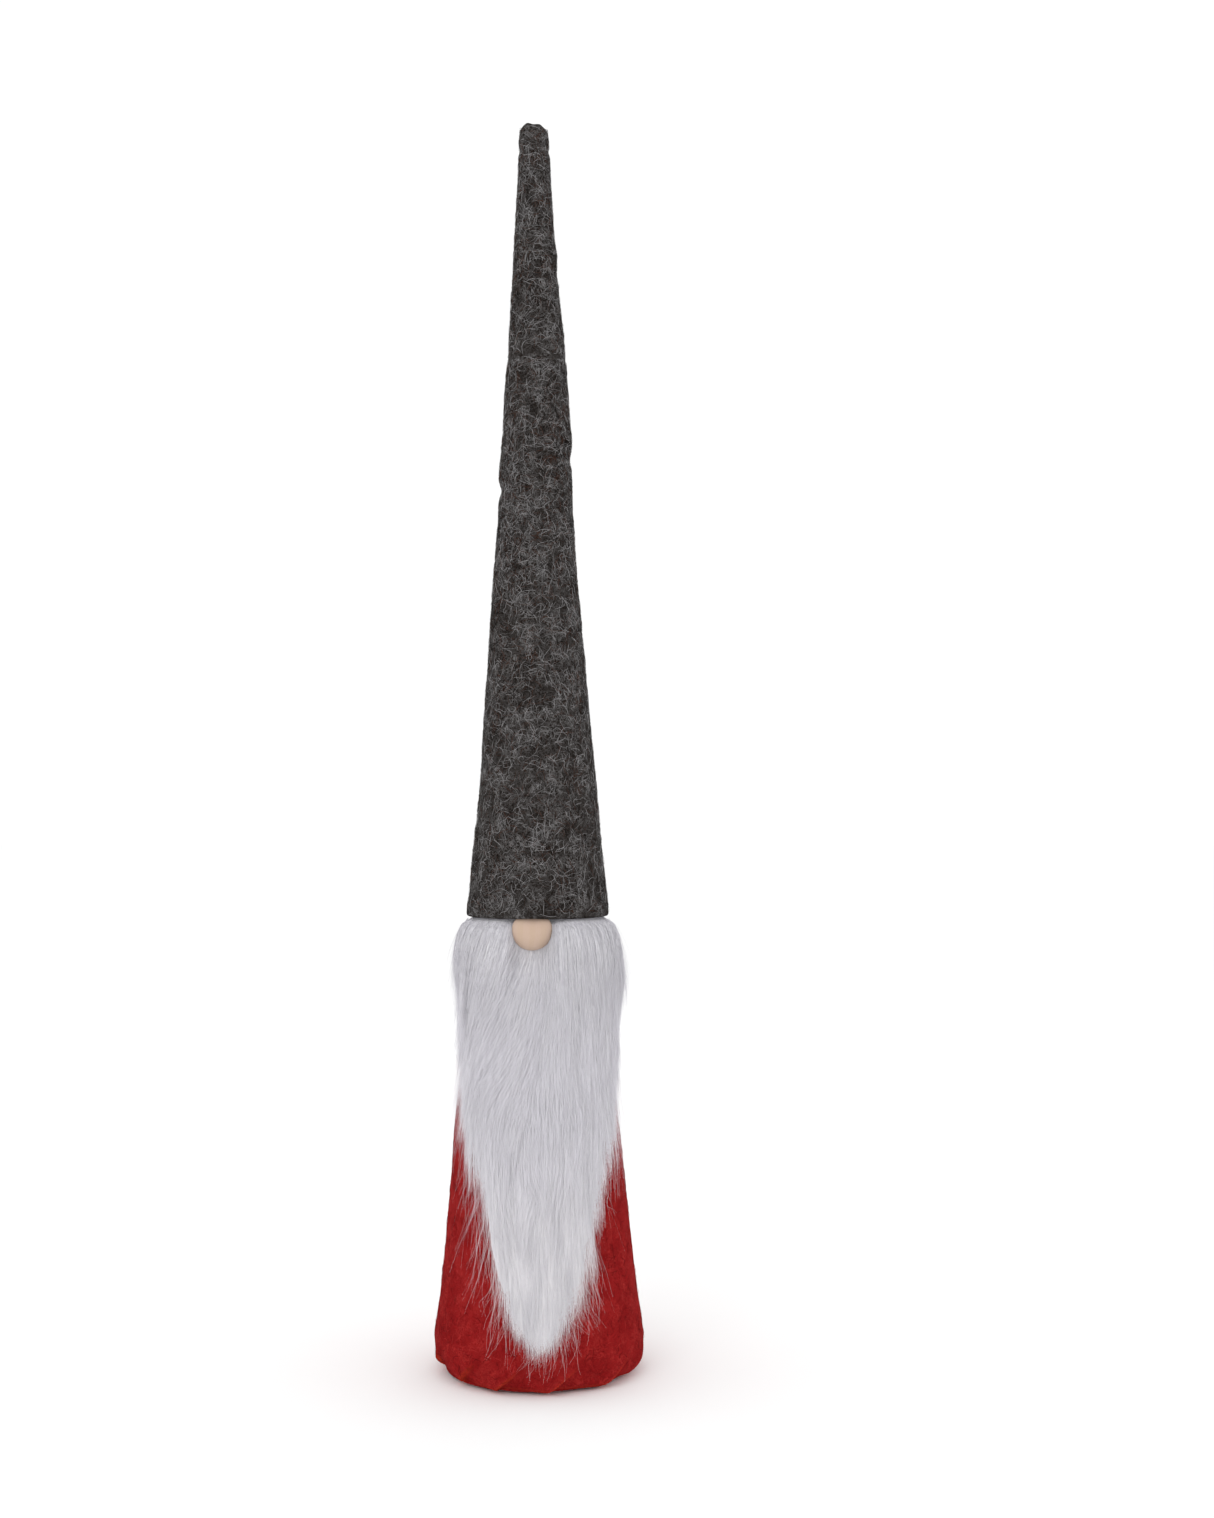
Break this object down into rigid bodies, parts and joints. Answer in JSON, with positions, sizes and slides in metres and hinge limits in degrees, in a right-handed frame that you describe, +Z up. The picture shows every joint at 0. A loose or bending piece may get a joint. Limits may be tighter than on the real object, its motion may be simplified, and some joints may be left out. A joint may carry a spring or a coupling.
{
  "type": "gnome figurine",
  "caption": "Tall slim felt gnome with a tapered red body on a weighted round base, a long pale beard, a wooden nose and a tall grey bendable hat.",
  "frame": {"origin": "centre of the flat underside of the base", "axes": "+Z up through the hat, the gnome faces -Y"},
  "size_m": [0.1022, 0.1024, 0.6],
  "materials": {
    "cover_felt": "pressed wool felt disc, matt",
    "red_felt": "pressed wool felt, matt and slightly fuzzy",
    "fibreboard": "thin hardboard, smooth",
    "calico": "plain-woven cotton",
    "sand": "dry fine sand",
    "polyester_fibre": "loose hollow-fibre filling",
    "red_thread": "twisted polyester sewing thread",
    "knitted_backing": "knitted backing of a long-pile fabric",
    "grey_pile": "long soft acrylic pile with a slight sheen",
    "pale_wood": "unvarnished pale hardwood, sanded",
    "hot_melt_glue": "set hot-melt glue",
    "grey_felt": "melange wool felt with darker and lighter fibres, matt",
    "steel_wire": "drawn galvanised wire",
    "grey_thread": "twisted polyester sewing thread"
  },
  "bodies": {
    "figure": {"base_cover": "cover_felt", "hem_flaps": "red_felt", "base_board": "fibreboard", "weight_pouch": "calico", "sand_fill": "sand", "body_felt": "red_felt", "body_stuffing": "polyester_fibre", "body_seam_thread": "red_thread", "beard_backing": "knitted_backing", "beard_pile": "grey_pile", "nose": "pale_wood", "nose_glue": "hot_melt_glue", "hat_felt_lower": "grey_felt", "hat_stuffing_lower": "polyester_fibre", "hat_wire_lower": "steel_wire", "hat_glue_bead": "hot_melt_glue", "hat_seam_thread_lower": "grey_thread"},
    "hat_middle": {"hat_felt_crease": "grey_felt", "hat_felt_middle": "grey_felt", "hat_stuffing_middle": "polyester_fibre", "hat_wire_middle": "steel_wire", "hat_seam_thread_middle": "grey_thread"},
    "hat_tip": {"hat_felt_tip_crease": "grey_felt", "hat_felt_tip": "grey_felt", "hat_stuffing_tip": "polyester_fibre", "hat_wire_tip": "steel_wire", "hat_seam_thread_tip": "grey_thread"}
  },
  "joints": [
    {"name": "hat_crease_bend", "type": "hinge", "parent": "figure", "child": "hat_middle", "pos_m": [0, 0, 0.423], "axis": [0, 1, 0], "range_deg": [-40, 40], "deforming": ["hat_felt_crease"]},
    {"name": "hat_tip_bend", "type": "hinge", "parent": "hat_middle", "child": "hat_tip", "pos_m": [0, 0, 0.54], "axis": [0, 1, 0], "range_deg": [-70, 70], "deforming": ["hat_felt_tip_crease"]}
  ]
}
